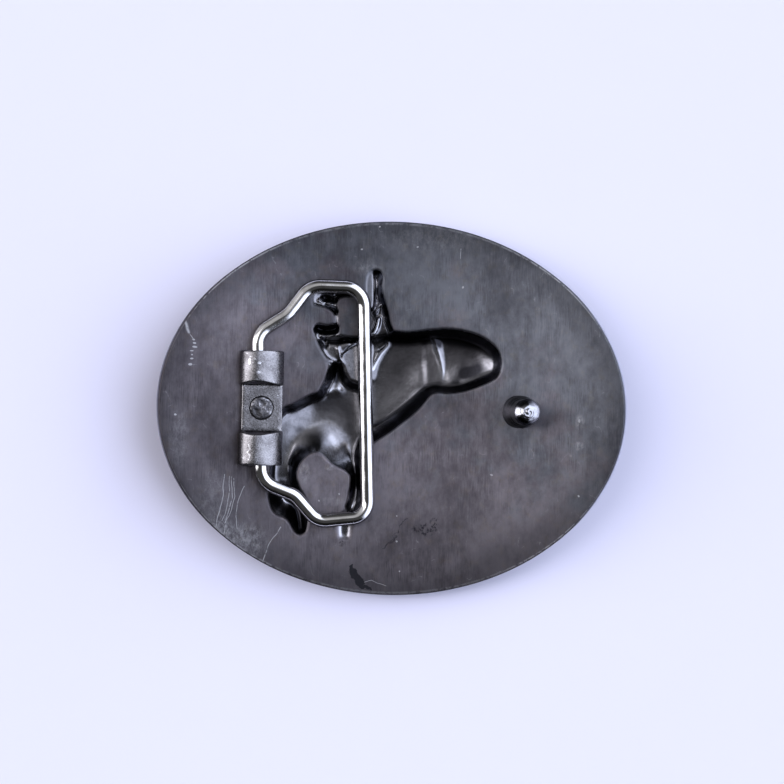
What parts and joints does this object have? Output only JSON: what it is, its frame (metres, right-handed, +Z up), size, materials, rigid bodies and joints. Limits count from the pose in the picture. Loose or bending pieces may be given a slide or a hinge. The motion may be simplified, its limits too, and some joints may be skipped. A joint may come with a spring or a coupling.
{
  "type": "western belt buckle",
  "caption": "Oval bowed belt buckle, cast with a hollow-backed rider figure, with a swinging wire loop in a riveted hinge bracket and a leaning belt stud.",
  "frame": {"origin": "under the middle of the buckle, on the surface that it lies on, front down", "axes": "+Z up, out of the hollow back; +X from the wire loop's hinge to the belt stud, along the belt; +Y across the belt"},
  "size_m": [0.0852, 0.0682, 0.0132],
  "materials": {
    "plate_metal": "dark brushed cast zinc alloy",
    "stud_metal": "filed and polished at the tip",
    "bracket_metal": "matte zinc plate",
    "rivet_metal": "hammered flat",
    "wire_metal": "bright nickel plate"
  },
  "bodies": {
    "buckle": {"buckle_plate": "plate_metal", "belt_stud": "stud_metal", "hinge_bracket": "bracket_metal", "hinge_rivet": "rivet_metal"},
    "loop": {"wire_loop": "wire_metal"}
  },
  "joints": [
    {"name": "loop_swing", "type": "hinge", "parent": "buckle", "child": "loop", "pos_m": [-0.02388, -0.00046, 0.00757], "axis": [0.0471, -0.9989, 0], "range_deg": [0, 165]}
  ]
}
